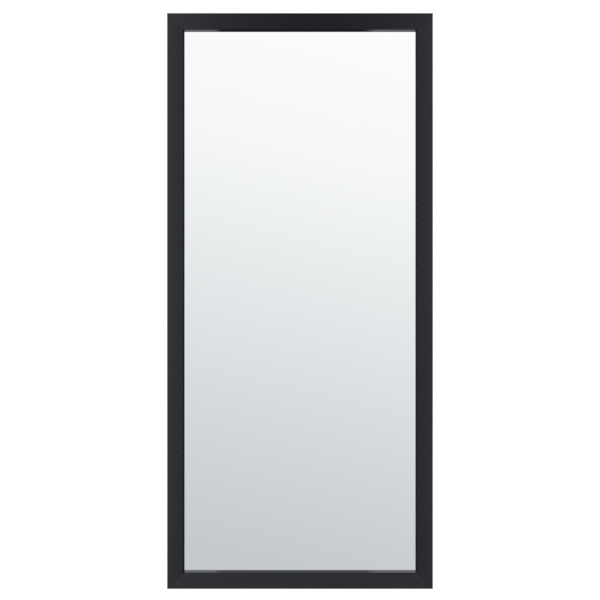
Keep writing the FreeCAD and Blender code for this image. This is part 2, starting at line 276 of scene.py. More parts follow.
class Value:
    """A node's output that takes part in plain arithmetic."""

    def __init__(self, graph, socket):
        self.graph = graph
        self.socket = socket

    def math(self, operation, *values):
        return self.graph.node("ShaderNodeMath", {"operation": operation}, dict(enumerate(values)))

    def __add__(self, other):
        return self.math("ADD", self, other)

    __radd__ = __add__

    def __sub__(self, other):
        return self.math("SUBTRACT", self, other)

    def __rsub__(self, other):
        return self.math("SUBTRACT", other, self)

    def __mul__(self, other):
        return self.math("MULTIPLY", self, other)

    __rmul__ = __mul__

    def __truediv__(self, other):
        return self.math("DIVIDE", self, other)

    def __rtruediv__(self, other):
        return self.math("DIVIDE", other, self)

    def __pow__(self, other):
        return self.math("POWER", self, other)

    def __rpow__(self, other):
        return self.math("POWER", other, self)

    def __abs__(self):
        return self.math("ABSOLUTE", self)

    def larger(self, other):
        return self.math("MAXIMUM", self, other)

    def smaller(self, other):
        return self.math("MINIMUM", self, other)

    def sine(self):
        return self.math("SINE", self)


class Graph:
    """The node tree of a finish or of the studio's light."""

    def __init__(self, tree):
        self.tree = tree
        tree.nodes.clear()

    def node(self, kind, settings, sockets, out=0):
        """Add a node, set it up, feed its sockets and give back one output, or several as a list."""
        made = self.tree.nodes.new(kind)
        for key, setting in settings.items():
            if key == "stops":
                ramp = made.color_ramp.elements
                while len(ramp) < len(setting):
                    ramp.new(1.0)
                for element, (position, tint) in zip(ramp, setting):
                    element.position = position
                    element.color = (*tint, 1.0)
            else:
                setattr(made, key, setting)
        for key, value in sockets.items():
            if isinstance(value, Value):
                self.tree.links.new(value.socket, made.inputs[key])
            else:
                made.inputs[key].default_value = value
        if isinstance(out, tuple):
            return [Value(self, made.outputs[name]) for name in out]
        return Value(self, made.outputs[out]) if len(made.outputs) else None

    def place(self):
        """Where a point lies in the row frame."""
        return self.node("ShaderNodeTexCoord", {}, {}, "Object")

    def split(self, vector):
        """A vector's x, y and z."""
        return self.node("ShaderNodeSeparateXYZ", {}, {"Vector": vector}, ("X", "Y", "Z"))

    def turn(self, vector, angle):
        """A place turned about Y by an angle in radians."""
        sockets = {"Vector": vector, "Angle": angle}
        return self.node("ShaderNodeVectorRotate", {"rotation_type": "Y_AXIS"}, sockets)

    def noise(self, vector, size, detail=2.0, roughness=0.5, stretch=(1.0, 1.0, 1.0)):
        """Noise from 0 to 1 whose spots are about size across, drawn out along an axis by stretch."""
        scale = [1.0 / (size * s) for s in stretch]
        spread = self.node(
            "ShaderNodeVectorMath", {"operation": "MULTIPLY"}, {0: vector, 1: Vector(scale)}, "Vector"
        )
        sockets = {"Vector": spread, "Scale": 1.0, "Detail": detail, "Roughness": roughness}
        return self.node("ShaderNodeTexNoise", {}, sockets, "Fac")

    def step(self, value, low, high):
        """0 below low, 1 above high and smooth between them."""
        sockets = {"Value": value, "From Min": low, "From Max": high}
        return self.node("ShaderNodeMapRange", {"interpolation_type": "SMOOTHSTEP"}, sockets)

    def blend(self, factor, first, second):
        """A colour between two colours."""
        sides = {0: factor, 6: four(first), 7: four(second)}
        return self.node("ShaderNodeMix", {"data_type": "RGBA"}, sides, 2)

    def ramp(self, value, stops):
        """A colour for a value from -1 to 1, between stops that each give a value and a colour."""
        stops = [(at / 2 + 0.5, tint) for at, tint in stops]
        return self.node("ShaderNodeValToRGB", {"stops": stops}, {"Fac": value / 2 + 0.5}, "Color")

    def bump(self, height, distance, strength):
        """A surface normal from a height between 0 and 1 that stands for distance in metres."""
        sockets = {"Height": height, "Distance": distance, "Strength": strength}
        return self.node("ShaderNodeBump", {}, sockets)


def four(tint):
    """A colour with its alpha, or a value as it is."""
    return tint if isinstance(tint, Value) else (*tint[:3], 1.0)


def shade(tint, factor):
    """A colour made lighter or darker."""
    return tuple(c * factor for c in tint)


def finish(name, paint, *arguments):
    """A material whose surface is what paint returns for the shader's sockets."""
    material = bpy.data.materials.new(name)
    material.use_nodes = True
    graph = Graph(material.node_tree)
    sockets = paint(graph, *arguments)
    sockets["Base Color"] = four(sockets["Base Color"])
    surface = graph.node("ShaderNodeBsdfPrincipled", {}, sockets)
    graph.node("ShaderNodeOutputMaterial", {}, {"Surface": surface})
    return material


def is_stile(node):
    """Whether a frame member stands upright."""
    return node.startswith("stile")


def foil_grain(graph, place, node):
    """Fine grain printed along a member."""
    along = (1.0, 1.0, 30.0) if is_stile(node) else (30.0, 1.0, 1.0)
    return graph.noise(place, size=0.4 * MM, detail=3.0, roughness=0.55, stretch=along)


def fibre_mat(graph, place, size, stretch):
    """Mat of short fibres that lie every way in the plane of a board."""
    layers = [
        graph.noise(graph.turn(place, lie), size, detail=3.0, roughness=0.6, stretch=(stretch, 1.0, 1.0))
        for lie in FIBRE_LIES
    ]
    return sum(layers[1:], layers[0]) / len(layers)


def bare_board(graph, sizes, place, across, y):
    """1 where a member has no foil: on the back inside the foil's frayed edge, and in the rebate."""
    fray = (graph.noise(place, size=6 * MM, detail=4.0, roughness=0.6) - 0.5) * (1.1 * MM)
    past_fold = graph.step(across - sizes.foil_return + fray, -0.1 * MM, 0.1 * MM)
    on_back = graph.step(y, BACK_Y - 0.4 * MM, BACK_Y - 0.1 * MM)
    past_strip = graph.step(across, BACK_STRIP - 0.8 * MM, BACK_STRIP - 0.5 * MM)
    behind_lip = graph.step(y, LIP_Y - 0.1 * MM, LIP_Y)
    return (on_back * past_fold).larger(past_strip * behind_lip)


def satin_and_painted_sheen(node, across, x, z):
    """Weight of the foil's coat, varied by place as painted sheen and shade."""
    if is_stile(node):
        fall = STILE_SATIN_AND_PAINTED_SHEEN["outer"] - STILE_SATIN_AND_PAINTED_SHEEN["inner"]
        upward = z * (STILE_SATIN_AND_PAINTED_SHEEN["to_top"] / OUTER.z)
        rightward = x * (STILE_SATIN_AND_PAINTED_SHEEN["to_right"] / OUTER.x)
        return STILE_SATIN_AND_PAINTED_SHEEN["outer"] - across * (fall / FACE_WIDTH) + upward + rightward
    rail = RAIL_SATIN_AND_PAINTED_SHEEN[node]
    return rail["least"] + rail["growth"] * (x - rail["at_x"]) ** 2


def black_foil(graph, colours, sizes, node):
    """Satin foil with a fine grain along the member, over board that is bare at the back."""
    place = graph.place()
    x, y, z = graph.split(place)
    across = OUTER.x - abs(x) if is_stile(node) else OUTER.z - abs(z)
    grain = foil_grain(graph, place, node)
    streak = graph.step(grain, 0.3, 0.7)
    cloud = graph.noise(place, size=90 * MM)
    speck = graph.noise(place, size=0.7 * MM, detail=4.0, roughness=0.6)
    fibre = fibre_mat(graph, place, size=0.45 * MM, stretch=6.0)
    chip = graph.step(speck, 0.66, 0.76)
    bare = bare_board(graph, sizes, place, across, y)
    foiled = 1 - bare

    foil = graph.blend(cloud, shade(colours.foil, 0.9), shade(colours.foil, 1.1))
    foil = graph.blend(streak, shade(colours.foil, 0.55), foil)
    board = graph.blend(cloud, shade(colours.fibreboard, 0.92), shade(colours.fibreboard, 1.06))
    board = graph.blend(graph.step(fibre, 0.36, 0.62), shade(colours.fibreboard, 0.8), board)
    board = graph.blend(0.35 * chip, board, shade(colours.fibreboard, 0.5))
    relief = (0.7 * grain + 0.5 * speck) * foiled + (fibre + 0.4 * speck) * bare
    return {
        "Base Color": graph.blend(bare, foil, board),
        "Roughness": (0.28 + 0.12 * speck + 0.06 * streak) * foiled + (0.8 + 0.12 * fibre) * bare,
        "Specular IOR Level": 0.26,
        "Specular Tint": (0.86, 0.9, 1.0, 1.0),
        # Painted sheen and shade: the coat's weight follows the place on the member
        "Coat Weight": satin_and_painted_sheen(node, across, x, z) * (0.6 + 0.8 * streak) * foiled,
        "Coat Roughness": 0.3,
        "Normal": graph.bump(relief, distance=0.06 * MM, strength=0.7),
    }


def lip_foil(graph, colours, node):
    """The same foil on the lip's inner wall, with its specular turned off as painted shade, and glossy on
    the rails towards their ends as painted reflection.
    """
    place = graph.place()
    grain = foil_grain(graph, place, node)
    cloud = graph.noise(place, size=50 * MM)
    sockets = {
        "Base Color": graph.blend(grain, shade(colours.foil, 0.8), shade(colours.foil, 1.2)),
        "Roughness": 0.4 + 0.1 * cloud,
        "Specular IOR Level": 0.0,
        "Normal": graph.bump(grain, distance=0.02 * MM, strength=0.5),
    }
    if not is_stile(node):
        x, _, _ = graph.split(place)
        lip_painted_reflection = LIP_GLOSS_AND_PAINTED_REFLECTION[node]
        left_end = 1 - graph.step(x, *LIP_DULLS)
        right_end = graph.step(x, *LIP_SHINES)
        gain = lip_painted_reflection["ends"] - lip_painted_reflection["middle"]
        # Painted reflection: the coat is heavier towards both ends of the rail
        sockets["Coat Weight"] = lip_painted_reflection["middle"] + gain * (left_end + right_end)
        sockets["Coat Roughness"] = 0.15
        sockets["Coat IOR"] = 1.55
    return sockets


def silvered_glass(graph, colours):
    """Clear pane with a bright silver back and a faint green tint towards its edges."""
    place = graph.place()
    x, _, z = graph.split(place)
    rim = (PANE.x - abs(x)).smaller(PANE.z - abs(z))
    edge = 1 - graph.step(rim, 0.0, 9 * MM)
    wave = graph.noise(place, size=350 * MM, detail=1.0, roughness=0.4)
    return {
        "Base Color": graph.blend(edge, colours.silver, colours.pane_edge),
        "Metallic": 1.0,
        "Roughness": 0.0,
        "Normal": graph.bump(wave, distance=0.06 * MM, strength=0.4),
    }


def hardboard(graph, tint):
    """Smooth pressed board: matted fibres lying every way, small dark shives, light handling scuffs."""
    place = graph.place()
    blotch = graph.noise(place, size=50 * MM, detail=4.0, roughness=0.6)
    mat = fibre_mat(graph, place, size=0.5 * MM, stretch=9.0)
    husk = graph.noise(place, size=0.9 * MM, stretch=(1.0, 1.0, 2.5))
    shive = graph.step(husk, 0.7, 0.76)
    rub = graph.noise(place, size=10 * MM, detail=7.0, roughness=0.78, stretch=(1.0, 1.0, 7.0))
    scuff = graph.step(rub, 0.6, 0.85)
    tone = graph.blend(blotch, shade(tint, 0.85), shade(tint, 1.15))
    tone = graph.blend(0.6 * graph.step(mat, 0.38, 0.62), tone, shade(tint, 1.5))
    tone = graph.blend(0.5 * shive, tone, shade(tint, 0.45))
    tone = graph.blend(0.22 * scuff, tone, shade(tint, 2.0))
    return {
        "Base Color": tone,
        "Roughness": 0.38 + 0.2 * mat + 0.15 * scuff,
        "Specular IOR Level": 0.42,
        "Normal": graph.bump(mat, distance=0.06 * MM, strength=0.6),
    }


def card(graph, tint):
    """Brown board with faint flutes and pulp flecks."""
    place = graph.place()
    x, _, _ = graph.split(place)
    flute_pitch = 4 * MM
    flute = 0.5 + 0.5 * (x * (2 * math.pi / flute_pitch)).sine()
    pulp = graph.noise(place, size=1 * MM, detail=5.0, roughness=0.7)
    husk = graph.noise(place, size=2 * MM, stretch=(1.0, 1.0, 3.0))
    fleck = graph.step(husk, 0.66, 0.74)
    tone = graph.blend(pulp, shade(tint, 0.8), shade(tint, 1.15))
    tone = graph.blend(0.5 * fleck, tone, shade(tint, 0.45))
    return {
        "Base Color": tone,
        "Roughness": 0.82 + 0.12 * pulp,
        "Specular IOR Level": 0.3,
        "Normal": graph.bump(0.6 * flute + 0.4 * pulp, distance=0.12 * MM, strength=0.5),
    }


def plated(graph, tint, smoothest):
    """Plated or bare steel, tumbled: soft cloudy sheen, fine random scratches and dull spots."""
    place = graph.place()
    skew = graph.turn(place, SCRATCH_LIE)
    cloud = graph.noise(place, size=4 * MM, detail=4.0, roughness=0.6)
    one_way = graph.noise(skew, size=0.16 * MM, stretch=(22.0, 1.0, 1.0))
    other_way = graph.noise(skew, size=0.18 * MM, stretch=(1.0, 1.0, 26.0))
    scratch = graph.step(one_way, 0.6, 0.72).larger(graph.step(other_way, 0.62, 0.74))
    dulled = graph.noise(place, size=9 * MM, detail=3.0, roughness=0.55)
    bloom = graph.step(dulled, 0.55, 0.8)
    tone = graph.blend(cloud, shade(tint, 0.84), shade(tint, 1.1))
    tone = graph.blend(0.35 * bloom, tone, shade(tint, 0.72))
    tone = graph.blend(0.3 * scratch, tone, shade(tint, 1.3))
    return {
        "Base Color": tone,
        "Metallic": 1.0,
        "Roughness": smoothest + 0.14 * cloud + 0.1 * bloom - 0.06 * scratch,
        "Normal": graph.bump(0.6 * cloud - 0.4 * scratch, distance=0.02 * MM, strength=0.5),
    }


def bright_wire(graph, tint):
    """Nickel-plated wire with faint drawing marks."""
    place = graph.place()
    cloud = graph.noise(place, size=3 * MM, detail=3.0, roughness=0.55)
    mark = graph.noise(place, size=0.25 * MM, stretch=(1.0, 1.0, 8.0))
    return {
        "Base Color": graph.blend(cloud, shade(tint, 0.88), shade(tint, 1.08)),
        "Metallic": 1.0,
        "Roughness": 0.12 + 0.1 * cloud + 0.06 * mark,
        "Normal": graph.bump(mark, distance=0.008 * MM, strength=0.5),
    }


def screw_zinc(graph, tint):
    """Bright zinc, with painted shade down in the cross recess."""
    place = graph.place()
    cloud = graph.noise(place, size=1.5 * MM, detail=3.0, roughness=0.6)
    recess_shade = graph.node("ShaderNodeAttribute", {"attribute_name": "recess"}, {}, "Fac")
    tone = graph.blend(cloud, shade(tint, 0.86), shade(tint, 1.08))
    return {
        # Painted shade: darker down in the cross recess
        "Base Color": graph.blend(recess_shade, tone, shade(tint, 0.3)),
        "Metallic": 1.0,
        "Roughness": 0.22 + 0.12 * cloud + 0.25 * recess_shade,
        "Normal": graph.bump(cloud, distance=0.015 * MM, strength=0.5),
    }


def rubber(graph, tint):
    """Soft black rubber with a dusty bloom and a fine moulded grain."""
    place = graph.place()
    dust = graph.noise(place, size=3 * MM, detail=4.0, roughness=0.65)
    pore = graph.noise(place, size=0.3 * MM)
    return {
        "Base Color": graph.blend(graph.step(dust, 0.4, 0.85), tint, shade(tint, 2.0)),
        "Roughness": 0.52 + 0.2 * dust,
        "Specular IOR Level": 0.4,
        "Normal": graph.bump(pore, distance=0.03 * MM, strength=0.5),
    }


def foam_tape(graph, tint):
    """Pale foam with open cells at its cut edge."""
    place = graph.place()
    cell = graph.noise(place, size=0.3 * MM, detail=3.0, roughness=0.6)
    return {
        "Base Color": graph.blend(cell, shade(tint, 0.7), tint),
        "Roughness": 0.85 + 0.1 * cell,
        "Normal": graph.bump(cell, distance=0.06 * MM, strength=0.6),
    }


def floor_paint(graph, studio):
    """Plain matt floor that gives off some light by itself."""
    return {
        "Base Color": studio.floor,
        "Roughness": 0.9,
        "Specular IOR Level": 0.0,
        "Emission Color": (1.0, 1.0, 1.0, 1.0),
        "Emission Strength": studio.floor_glow,
    }


def neighbours(points):
    """Each point of a closed outline with the one before and the one after it."""
    return zip(points[-1:] + points[:-1], points, points[1:] + points[:1])


def rounded(corners, steps):
    """Flat outline through (a, b, radius) corners, each rounded in so many steps."""
    outline = []
    for before, here, after in neighbours(corners):
        corner = Vector(here[:2])
        radius = here[2]
        if radius <= 0:
            outline.append(corner)
            continue
        back = (Vector(before[:2]) - corner).normalized()
        ahead = (Vector(after[:2]) - corner).normalized()
        half = back.angle(ahead) / 2
        centre = corner + (back + ahead).normalized() * (radius / math.sin(half))
        start = corner + back * (radius / math.tan(half)) - centre
        turn = math.copysign(math.pi - 2 * half, -back.cross(ahead))
        outline += [centre + Matrix.Rotation(turn * i / steps, 2) @ start for i in range(steps + 1)]
    return outline


def arc(centre_a, centre_b, radius, start, end, steps):
    """Points of a flat arc, angles in degrees."""
    angles = [math.radians(start + (end - start) * i / steps) for i in range(steps + 1)]
    return [Vector((centre_a + radius * math.cos(t), centre_b + radius * math.sin(t))) for t in angles]


def hole(centre_a, centre_b, radius, sides=24):
    """Outline of a round hole, drawn clockwise."""
    return arc(centre_a, centre_b, radius, 360, 360 / sides, steps=sides - 1)


def inset(outline, depth):
    """An outline moved to its left: one drawn anticlockwise shrinks, and a hole drawn clockwise grows."""
    moved = []
    for before, here, after in neighbours(outline):
        arrive = (here - before).normalized()
        leave = (after - here).normalized()
        first = Vector((-arrive.y, arrive.x))
        second = Vector((-leave.y, leave.x))
        moved.append(here + (first + second) * (depth / (1 + first.dot(second))))
    return moved


def skin(bm, rings, closed=False, capped=True):
    """Faces between rings of points, with end caps or joined end to start."""
    made = [[bm.verts.new(p) for p in ring] for ring in rings]
    pairs = list(zip(made, made[1:]))
    if closed:
        pairs.append((made[-1], made[0]))
    for low, high in pairs:
        for i in range(len(low)):
            bm.faces.new((low[i - 1], low[i], high[i], high[i - 1]))
    if capped and not closed:
        bm.faces.new(made[0])
        bm.faces.new(made[-1])
    return made


def full_turn(steps):
    """Angles of so many steps round a circle."""
    return [2 * math.pi * i / steps for i in range(steps)]


def skinned(name, rings, closed=False):
    """Mesh of one skin over rings of points."""
    bm = bmesh.new()
    skin(bm, rings, closed)
    return mesh_of(bm, name)


def turned(name, profile, steps):
    """Mesh turned round Y from (radius, y) points that start and end on the axis."""
    rings = []
    for radius, y in profile:
        r = max(radius, HUB)
        rings.append([Vector((r * math.cos(t), y, r * math.sin(t))) for t in full_turn(steps)])
    return skinned(name, rings)


def pressed(name, outline, holes, thickness, edge):
    """Mesh of a stamped plate in X and Z from y = 0 towards +Y, with softened cut edges."""
    rise = arc(edge, edge, edge, 270, 180, steps=3)
    section = [(p.x, p.y) for p in rise] + [(p.x, thickness - p.y) for p in reversed(rise)]
    bm = bmesh.new()
    caps = ([], [])
    for loop in [outline, *holes]:
        rings = [[Vector((p.x, y, p.y)) for p in inset(loop, depth)] for depth, y in section]
        made = skin(bm, rings, capped=False)
        caps[0].append(made[0])
        caps[1].append(made[-1])
    for loops in caps:
        corners = [vert for loop in loops for vert in loop]
        for triangle in tessellate_polygon([[vert.co for vert in loop] for loop in loops]):
            bm.faces.new([corners[i] for i in triangle])
    return mesh_of(bm, name)


def mesh_of(bm, name, crease=35):
    """Mesh with smooth faces, and sharp edges where it turns by more than crease degrees."""
    bmesh.ops.recalc_face_normals(bm, faces=bm.faces)
    mesh = bpy.data.meshes.new(name)
    bm.to_mesh(mesh)
    bm.free()
    mesh.shade_smooth()
    mesh.set_sharp_from_angle(angle=math.radians(crease))
    return mesh


def punched(blank, punch):
    """What is left of a blank mesh when a punch mesh has gone into it."""
    body, tool = [bpy.data.objects.new(mesh.name, mesh) for mesh in (blank, punch)]
    for part in (body, tool):
        bpy.context.scene.collection.objects.link(part)
    cut = body.modifiers.new("punched", "BOOLEAN")
    cut.object = tool
    cut.solver = "EXACT"
    mesh = bpy.data.meshes.new_from_object(body.evaluated_get(bpy.context.evaluated_depsgraph_get()))
    for part in (body, tool):
        bpy.data.objects.remove(part)
    return mesh


def fit(name, mesh, body, node, slot, *finishes):
    """Add a dressed piece in place of a packed one."""
    piece = bpy.data.objects.new(name, mesh)
    bpy.context.scene.collection.objects.link(piece)
    for material in finishes:
        mesh.materials.append(material)
    even = piece.modifiers.new("even_shading", "WEIGHTED_NORMAL")
    even.keep_sharp = True
    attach(piece, body)
    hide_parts(node)


def wear(node, material):
    """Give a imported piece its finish."""
    mesh = frame["nodes"][node].data
    mesh.materials.clear()
    mesh.materials.append(material)


def plate_holes(sizes):
    """Holes of a corner plate, counted along both legs from its outer corner."""
    middle = sizes.plate_width / 2
    along = (sizes.plate_first_hole, sizes.plate_first_hole + sizes.plate_hole_pitch)
    return [(a, middle) for a in along] + [(middle, a) for a in along]


def plate_place(end, side):
    """Where a plate that is drawn from its outer corner lies on the frame."""
    low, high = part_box(f"corner_plate_{end}_{side}")
    out_x = SIDES[side]
    out_z = ENDS[end]
    corner = Vector((high.x if out_x > 0 else low.x, low.y, high.z if out_z > 0 else low.z))
    return Matrix.Translation(corner) @ Matrix.Diagonal((-out_x, 1, -out_z, 1))


class WALL_MIRROR_OT_frame_members(bpy.types.Operator):
    """Make the two stiles and the two rails, mitred, with foil outside and bare board behind"""

    bl_idname = "wall_mirror.frame_members"
    bl_label = "Frame Members"

    def execute(self, context):
        sizes = context.scene.mirror_frame_sizes
        colours = context.scene.mirror_colours
        for node, turns in QUARTER_TURNS.items():
            span, reach = (OUTER.x, OUTER.z) if is_stile(node) else (OUTER.z, OUTER.x)
            mesh = self.member(f"{node}_moulding", sizes, span, reach)
            mesh.transform(Matrix.Rotation(math.pi / 2 * turns, 4, "Y"))
            foil = finish(f"{node}_foil", black_foil, colours, sizes, node)
            lip = finish(f"{node}_lip_foil", lip_foil, colours, node)
            fit(f"{node}_dressed", mesh, "frame", node, "frame_black", foil, lip)
        return {"FINISHED"}

    def member(self, name, sizes, span, reach):
        """Left member of a frame of this half span, with mitred ends at plus and minus reach."""
        section = rounded(
            [
                (0, FRONT_Y, sizes.front_round),
                (FACE_WIDTH, FRONT_Y, sizes.front_round),
                (FACE_WIDTH, LIP_Y, 0),
                (BACK_STRIP, LIP_Y, 0),
                (BACK_STRIP, BACK_Y, sizes.back_round),
                (0, BACK_Y, sizes.back_round),
            ],
            steps=6,
        )
        eased = inset(section, sizes.mitre_ease)
        rings = []
        for end in (-1, 1):
            for outline, ease in ((eased, 0.0), (section, sizes.mitre_ease))[::-end]:
                rings.append([Vector((p.x - span, p.y, end * (reach - p.x - ease))) for p in outline])
        mesh = skinned(name, rings)
        for face in mesh.polygons:
            at_lip = face.center.x > FACE_WIDTH - span - NEAR
            face.material_index = int(at_lip and face.normal.x > 0.5)
        return mesh


class WALL_MIRROR_OT_pane(bpy.types.Operator):
    """Silver the pane"""

    bl_idname = "wall_mirror.pane"
    bl_label = "Pane"

    def execute(self, context):
        wear("mirror_glass", finish("silvered_glass", silvered_glass, context.scene.mirror_colours))
        return {"FINISHED"}


class WALL_MIRROR_OT_setting_pads(bpy.types.Operator):
    """Finish the rubber pads that the pane stands on"""

    bl_idname = "wall_mirror.setting_pads"
    bl_label = "Setting Pads"

    def execute(self, context):
        black = finish("pad_rubber", rubber, context.scene.mirror_colours.pad)
        for side in SIDES:
            wear(f"glass_pad_{side}", black)
        return {"FINISHED"}


class WALL_MIRROR_OT_liner(bpy.types.Operator):
    """Finish the card behind the pane"""

    bl_idname = "wall_mirror.liner"
    bl_label = "Liner"

    def execute(self, context):
        wear("cardboard_liner", finish("liner_card", card, context.scene.mirror_colours.card))
        return {"FINISHED"}


class WALL_MIRROR_OT_backing_board(bpy.types.Operator):
    """Finish the hardboard back"""

    bl_idname = "wall_mirror.backing_board"
    bl_label = "Backing Board"

    def execute(self, context):
        wear("backing_board", finish("hardboard", hardboard, context.scene.mirror_colours.hardboard))
        return {"FINISHED"}


class WALL_MIRROR_OT_corner_nails(bpy.types.Operator):
    """Finish the nails across the mitres"""

    bl_idname = "wall_mirror.corner_nails"
    bl_label = "Corner Nails"

    def execute(self, context):
        tint = context.scene.mirror_colours.steel
        wear("mitre_nails", finish("nail_steel", plated, tint, SMOOTHEST["nail"]))
        return {"FINISHED"}


class WALL_MIRROR_OT_corner_plates(bpy.types.Operator):
    """Stamp the L-shaped plates over the mitres"""

    bl_idname = "wall_mirror.corner_plates"
    bl_label = "Corner Plates"

    def execute(self, context):
        sizes = context.scene.mirror_stamping_sizes
        zinc = finish("plate_zinc", plated, context.scene.mirror_colours.zinc, SMOOTHEST["plate"])
        for end, side in CORNERS:
            node = f"corner_plate_{end}_{side}"
            low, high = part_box(node)
            holes = [hole(a, b, sizes.screw_hole) for a, b in plate_holes(sizes)]
            outline = self.outline(sizes, high.x - low.x)
            mesh = pressed(f"{node}_stamping", outline, holes, high.y - low.y, sizes.cut_edge)
            place = plate_place(end, side)
            mesh.transform(place)
            if place.is_negative:
                mesh.flip_normals()
            fit(f"{node}_stamped", mesh, "frame", node, "plate_zinc", zinc)
        return {"FINISHED"}

    def outline(self, sizes, leg):
        """L with two equal legs, from its outer corner."""
        width = sizes.plate_width
        corners = [
            (0, 0, sizes.plate_round),
            (leg, 0, sizes.plate_round),
            (leg, width, sizes.plate_round),
            (width, width, sizes.plate_inner_round),
            (width, leg, sizes.plate_round),
            (0, leg, sizes.plate_round),
        ]
        return rounded(corners, steps=8)


class WALL_MIRROR_OT_turn_buttons(bpy.types.Operator):
    """Stamp the turn buttons that hold the board in"""

    bl_idname = "wall_mirror.turn_buttons"
    bl_label = "Turn Buttons"

    def execute(self, context):
        sizes = context.scene.mirror_stamping_sizes
        zinc = finish("button_zinc", plated, context.scene.mirror_colours.zinc, SMOOTHEST["button"])
        for body in BUTTONS:
            low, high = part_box(body)
            pivot = PIVOTS[body]
            outline = self.outline(sizes, max(high.x - low.x, high.z - low.z))
            holes = [hole(0, 0, sizes.screw_hole)]
            mesh = pressed(f"{body}_stamping", outline, holes, high.y - low.y, sizes.cut_edge)
            arm = (low + high) / 2 - pivot
            turn = Matrix.Rotation(-math.atan2(arm.z, arm.x), 4, "Y")
            mesh.transform(Matrix.Translation((pivot.x, low.y, pivot.z)) @ turn)
            fit(f"{body}_stamped", mesh, body, body, "button_zinc", zinc)
        return {"FINISHED"}

    def outline(self, sizes, long):
        """Round pivot end and smaller round tip, so long in all, joined by straight sides."""
        reach = long - sizes.button_pivot - sizes.button_tip
        slant = math.degrees(math.acos((sizes.button_pivot - sizes.button_tip) / reach))
        pivot_end = arc(0, 0, sizes.button_pivot, slant, 360 - slant, steps=36)
        return pivot_end + arc(reach, 0, sizes.button_tip, -slant, slant, steps=20)


class WALL_MIRROR_OT_hanger_straps(bpy.types.Operator):
    """Fold the straps that hold the hanger rings"""

    bl_idname = "wall_mirror.hanger_straps"
    bl_label = "Hanger Straps"

    def execute(self, context):
        sizes = context.scene.mirror_hanger_sizes
        zinc = finish("strap_zinc", plated, context.scene.mirror_colours.zinc, SMOOTHEST["strap"])
        for side in SIDES:
            node = f"hanger_strap_{side}"
            mesh = self.strap(sizes, node, PIVOTS[f"hanger_ring_{side}"])
            fit(f"{node}_folded", mesh, "frame", node, "strap_zinc", zinc)
        return {"FINISHED"}

    def strap(self, sizes, node, pivot):
        """Strip that lies on the frame, goes round the ring's bar and comes back on itself."""
        low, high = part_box(node)
        path = self.path(sizes, low, high, pivot)
        walked = [0.0]
        for here, after in zip(path, path[1:]):
            walked.append(walked[-1] + (after - here).length)
        rings = []
        for i, here in enumerate(path):
            ahead = path[min(i + 1, len(path) - 1)] - path[max(i - 1, 0)]
            out = Vector((-ahead.y, ahead.x)).normalized()
            from_tip = min(walked[i], walked[-1] - walked[i])
            section = self.section(sizes, (high.x - low.x) / 2, from_tip)
            points = [(pivot.x + a, here + out * b) for a, b in section]
            rings.append([Vector((x, p.x, pivot.z + p.y)) for x, p in points])
        return skinned(f"{node}_strip", rings)

    def path(self, sizes, low, high, pivot):
        """The strip's middle line, in y and in z from the pivot: up the frame, round the bar and back."""
        gauge = sizes.strap_gauge
        bend = sizes.strap_bend
        eye = (high.y - low.y - gauge) / 2
        foot = low.z - pivot.z
        lower = low.y + gauge / 2
        upper = lower + gauge
        bend_y = upper + bend
        bend_z = -math.sqrt((eye + bend) ** 2 - (bend_y - pivot.y) ** 2)
        leave = math.degrees(math.atan2(bend_z, bend_y - pivot.y))
        rise = [p.x for p in arc(foot + sizes.strap_round, 0, sizes.strap_round, 180, 90, steps=14)]
        path = [Vector((lower, z)) for z in rise]
        path += arc(pivot.y, 0, eye, 180, leave, steps=40)
        path += arc(bend_y, bend_z, bend, leave + 180, 180, steps=10)
        path += [Vector((upper, z)) for z in reversed(rise)]
        return path

    def section(self, sizes, half, from_tip):
        """Outline across the strip, so far from its nearer tip, where its corners are rounded."""
        short = max(sizes.strap_round - from_tip, 0.0)
        wide = half - sizes.strap_round + math.sqrt(sizes.strap_round**2 - short**2)
        thick = (sizes.strap_gauge - sizes.strap_leaf_gap) / 2
        ease = sizes.strap_edge
        side = [(wide - ease, thick), (wide, thick - ease), (wide, ease - thick), (wide - ease, -thick)]
        return side + [(-a, -b) for a, b in side]


class WALL_MIRROR_OT_hanger_rings(bpy.types.Operator):
    """Bend the D-shaped rings that go over the wall hooks"""

    bl_idname = "wall_mirror.hanger_rings"
    bl_label = "Hanger Rings"

    def execute(self, context):
        sizes = context.scene.mirror_hanger_sizes
        nickel = finish("ring_nickel", bright_wire, context.scene.mirror_colours.nickel)
        for side in SIDES:
            node = f"hanger_ring_{side}"
            fit(f"{node}_bent", self.ring(sizes, node, PIVOTS[node]), node, node, "ring_steel", nickel)
        return {"FINISHED"}

    def ring(self, sizes, node, pivot):
        """D-shaped ring of round wire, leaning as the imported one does."""
        low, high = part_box(node)
        wire = sizes.ring_wire / 2
        corner = sizes.ring_corner
        half = (high.x - low.x) / 2 - wire
        rise = high.z - pivot.z - wire
        lean = math.asin((pivot.y - wire - low.y) / rise)
        shoulder = rise / math.cos(lean) - half
        path = arc(corner - half, corner, corner, 180, 270, steps=10)
        path += arc(half - corner, corner, corner, -90, 0, steps=10)
        path += arc(0, shoulder, half, 0, 180, steps=48)
        turns = full_turn(steps=20)
        across = Vector((0, 1, 0))
        rings = []
        for before, here, after in neighbours(path):
            ahead = (after - before).normalized()
            out = Vector((ahead.y, 0, -ahead.x))
            middle = Vector((here.x, 0, here.y))
            rings.append([middle + (out * math.cos(t) + across * math.sin(t)) * wire for t in turns])
        mesh = skinned(f"{node}_wire", rings, closed=True)
        mesh.transform(Matrix.Translation(pivot) @ Matrix.Rotation(lean, 4, "X"))
        return mesh


